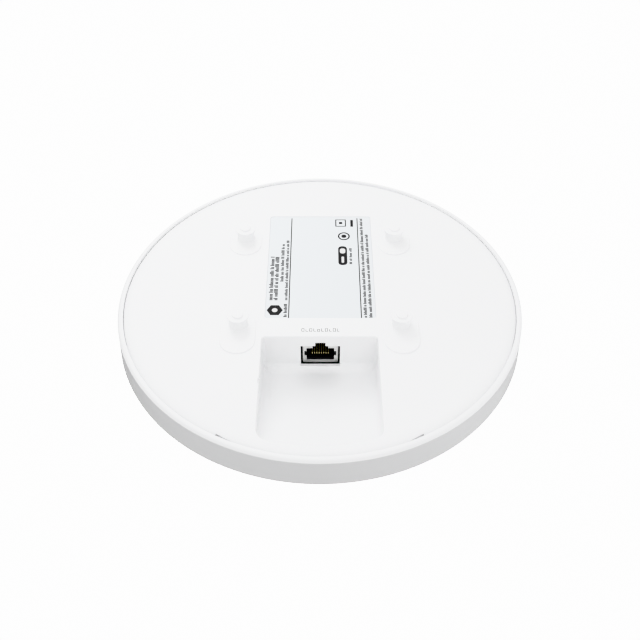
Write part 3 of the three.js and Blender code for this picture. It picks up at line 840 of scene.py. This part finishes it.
def label_text():
    """Columns of greeked text that read sideways, left and right of the two rules."""
    draw = random.Random(11)
    # Each column: its x, where it starts and ends along y, the letters' height, and their width.
    columns = (
        (-22.1, -2.1, 27.5, 1.9, 0.6),
        (-19.85, -2.1, 27.3, 1.9, 0.6),
        (-17.4, 10.2, 36.6, 1.6, 0.55),
        (-15.2, -2.1, 39.4, 1.4, 0.45),
        (-15.3, -12.6, -4.3, 1.5, 0.6),
        (20.1, -13.0, 56.0, 1.5, 0.42),
        (22.4, -13.0, 44.0, 1.5, 0.42),
        (14.5, 22.1, 33.9, 1.3, 0.6),
    )
    blocks = []
    for column in columns:
        blocks += greeked(*column, draw)
    return joined("label_text", blocks)


def label_rules():
    """The two long rules that part the text from the blank middle."""
    return joined("label_rules", [bar(x, RULE["y"], RULE["width"], RULE["length"]) for x in RULE["places"]])


def label_marks():
    """Plain marks where a label carries its signs: a hexagon, a ring, a box, a bar and a badge."""
    ring_x, ring_y = ROUND_MARK["x"], ROUND_MARK["y"]
    box_x, box_y = BOX_MARK["x"], BOX_MARK["y"]
    marks = [
        flat(arc(HEXAGON["x"], HEXAGON["y"], HEXAGON["radius"], 0, 300, 5), FILM_TOP),
        ring(ring_x, ring_y, ROUND_MARK["radius"], ROUND_MARK["line"]),
        bar(ring_x, ring_y, 2.4, 2.4, corner=0.9),
        bar(15.6, 52.0, 1.3, 5.2),
        bar(BADGE["x"], BADGE["y"], BADGE["width"], BADGE["length"], corner=BADGE["corner"]),
    ]
    marks += frame_mark(box_x, box_y, BOX_MARK["width"], BOX_MARK["length"], BOX_MARK["line"])
    marks.append(bar(box_x, box_y, 1.6, 1.6))
    return joined("label_marks", marks)


def label_inlays():
    """White ink over the dark marks."""
    inlays = [
        flat(arc(HEXAGON["x"], HEXAGON["y"], HEXAGON["hole"], 0, 345, 23), FILM_TOP, 1),
        bar(BADGE["x"], 31.4, 2.6, 3.6, layer=1, corner=1.0),
        bar(BADGE["x"], 25.2, 1.2, 4.4, layer=1, corner=0.5),
    ]
    return joined("label_inlays", inlays)


def port_legend():
    """The legend above the socket: a row of thin outlined shapes in place of letters."""
    marks, line = [], LEGEND["line"]
    for i in range(LEGEND["count"]):
        x = LEGEND["x"] + (i - (LEGEND["count"] - 1) / 2) * LEGEND["pitch"]
        tall = LEGEND["height"] if i % 3 != 1 else LEGEND["height"] * 0.7
        y = LEGEND["y"] + (tall - LEGEND["height"]) / 2
        if i % 2:
            marks.append(bar(x - 0.4, y, line, tall, BACK_Z))
            marks.append(bar(x + 0.15, y - tall / 2 + line / 2, 0.84, line, BACK_Z))
        else:
            marks += frame_mark(x, y, 1.25, tall, line, BACK_Z)
    return joined("port_legend", marks)


piece("label_print_text", label_text(), "housing", black_ink)
piece("label_print_rules", label_rules(), "housing", black_ink)
piece("label_print_marks", label_marks(), "housing", black_ink)
piece("label_print_inlays", label_inlays(), "housing", white_ink)
piece("port_legend_print", port_legend(), "housing", grey_ink)


# ---------------------------------------------------------------- network socket


def plug_outline(side_notch):
    """The plug's opening from the front: its body, the latch's steps and, on the shield, side notches."""
    half = PLUG["half"]
    right = [(half, PLUG["bottom"])]
    if side_notch:
        wide = SIDE_NOTCH["half"]
        right += [(half, SIDE_NOTCH["bottom"]), (wide, SIDE_NOTCH["bottom"])]
        right += [(wide, SIDE_NOTCH["top"]), (half, SIDE_NOTCH["top"])]
    right += [(half, PLUG["top"]), (PLUG["wide"], PLUG["top"]), (PLUG["wide"], PLUG["wide_top"])]
    right += [(PLUG["narrow"], PLUG["wide_top"]), (PLUG["narrow"], PLUG["narrow_top"])]
    left = [(-x, z) for x, z in reversed(right)]
    return [(JACK["x"] + x, z) for x, z in right + left]


def jack_shield():
    """The folded tin-plate can: rounded folds, the plug's opening, and a seam across the top."""
    x, front, sheet = JACK["x"], JACK["front"], JACK["sheet"]
    width, height = 2 * JACK["half"], JACK["top"] - JACK["bottom"]
    middle = (JACK["bottom"] + JACK["top"]) / 2
    rear = front + JACK["depth"]
    sizes = ((0.35, front), (0.12, front + 0.08), (0, front + 0.3), (0, rear - 0.3), (0.3, rear))
    rings = [upright(rounded_rectangle(x, middle, width - 2 * g, height - 2 * g, 0.45), y) for g, y in sizes]
    left, right = x - JACK["half"] + sheet, x + JACK["half"] - sheet
    inner = block(left, right, front + sheet, rear - sheet, JACK["bottom"] - 1, JACK["top"] - sheet)
    opening = stacked([upright(plug_outline(True), front - 1), upright(plug_outline(True), front + 1)])
    seam = block(x - 0.08, x + 0.08, front + 2.5, rear + 1, JACK["top"] - 0.2, JACK["top"] + 1)
    return combine(stacked(rings), "DIFFERENCE", [inner, opening, seam])


piece("jack_shield_can", jack_shield(), "housing", tin, ["jack_shield"])


def contact_spring(number):
    """One contact: a strip that runs under the floor, round the front bend, and up to the back."""
    y, z = CONTACT["pivot"]
    bend, slope = CONTACT["bend"], math.radians(CONTACT["slope"])
    path = arc(y, z, bend, 270, 90 + CONTACT["slope"], 16)
    start, end = path[0], path[-1]
    arm = CONTACT["arm"]
    path = [(start[0] + CONTACT["tail"], start[1])] + path
    for share in (0.33, 0.66, 1):
        path.append((end[0] + arm * share * math.cos(slope), end[1] + arm * share * math.sin(slope)))
    centre = JACK["x"] + (number - (CONTACT["count"] + 1) / 2) * CONTACT["pitch"]
    section = rounded_rectangle(0, 0, CONTACT["width"] - 0.05, CONTACT["thickness"], 0.07, 2)
    rings = []
    for i, here in enumerate(path):
        before, after = path[max(i - 1, 0)], path[min(i + 1, len(path) - 1)]
        along = Vector((after[0] - before[0], after[1] - before[1])).normalized()
        y, z = here
        rings.append([(centre + across, y - along.y * out, z + along.x * out) for across, out in section])
    return stacked(rings)


for number in range(1, CONTACT["count"] + 1):
    name = f"jack_contact_{number}"
    piece(f"contact_spring_{number}", contact_spring(number), f"contact_{number}", gold, [name])


# ---------------------------------------------------------------- light pipe


def light_pipe():
    """The clear pin that brings the status light to the front, with a rounded lens."""
    radius, bottom = LIGHT["radius"], LIGHT["bottom"]
    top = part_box("led_light_pipe")[1].z / MM
    lens = curve((0.3, bottom), (radius, bottom), (radius, bottom + 0.5), 6)
    return turned([(0, bottom)] + lens + [(radius, top), (0, top)], SMALL_SEGMENTS, place=(0, LIGHT["y"]))


clear = finishes["clear_plastic"]
piece("light_pipe_lens", light_pipe(), "housing", clear, ["led_light_pipe"])


# ---------------------------------------------------------------- stage, light and camera


def floor():
    """A large sheet that only camera rays see as glowing white: it lights the part from below dimly."""
    half, z, glow_strength = 3.0, -0.0002, 5
    mesh = bpy.data.meshes.new("floor")
    corners = [(-half, -half, z), (half, -half, z), (half, half, z), (-half, half, z)]
    mesh.from_pydata(corners, [], [(0, 1, 2, 3)])
    obj = bpy.data.objects.new("floor", mesh)
    scene.collection.objects.link(obj)
    n = Nodes("pale_floor")
    n.fixed(Base_Color=(0.25, 0.25, 0.25, 1), Roughness=0.9)
    glow = n.tree.nodes.new("ShaderNodeEmission")
    glow.inputs["Color"].default_value = (1, 1, 1, 1)
    ray = n.tree.nodes.new("ShaderNodeLightPath")
    share = n.tree.nodes.new("ShaderNodeMath")
    share.operation = "MULTIPLY"
    share.inputs[1].default_value = glow_strength
    n.link(ray.outputs["Is Camera Ray"], share.inputs[0])
    n.link(share.outputs["Value"], glow.inputs["Strength"])
    both = n.tree.nodes.new("ShaderNodeAddShader")
    n.link(n.shader.outputs["BSDF"], both.inputs[0])
    n.link(glow.outputs["Emission"], both.inputs[1])
    n.link(both.outputs["Shader"], n.tree.nodes["Material Output"].inputs["Surface"])
    mesh.materials.append(n.material)


def dome_light(strength):
    """Even light from all round, as in a white tent."""
    world = bpy.data.worlds.new("tent")
    world.use_nodes = True
    background = world.node_tree.nodes["Background"]
    background.inputs["Color"].default_value = (1.0, 1.0, 1.0, 1)
    background.inputs["Strength"].default_value = strength
    scene.world = world


def soft_box(name, place, size, energy):
    """A square soft box that faces the part."""
    light = bpy.data.lights.new(name, "AREA")
    light.energy = energy
    light.size = size
    obj = bpy.data.objects.new(name, light)
    obj.location = place
    obj.rotation_euler = (-Vector(place)).to_track_quat("-Z", "Y").to_euler()
    obj.visible_camera = False
    scene.collection.objects.link(obj)


def camera():
    """Looks at the socket's side of the housing, from 45 degrees above the floor."""
    elevation = math.radians(45.444)
    distance = 0.3887
    aim = Vector((0.0001, -0.0147, 0.0279))
    data = bpy.data.cameras.new("camera")
    data.lens = 50
    data.sensor_width = 36
    obj = bpy.data.objects.new("camera", data)
    obj.location = aim + distance * Vector((0, -math.cos(elevation), math.sin(elevation)))
    obj.rotation_euler = (math.pi / 2 - elevation, 0, 0)
    scene.collection.objects.link(obj)
    scene.camera = obj


floor()
dome_light(0.98)
soft_box("key_back_left", (-0.12, 0.27, 0.30), 0.24, 0.5)
soft_box("overhead", (-0.06, 0.02, 0.60), 0.4, 0.35)
soft_box("fill_front", (0.0, -0.9, 0.7), 0.8, 1.0)
soft_box("low_right", (0.34, -0.1, 0.012), 0.03, 0.16)
camera()
scene.view_settings.view_transform = "Khronos PBR Neutral"
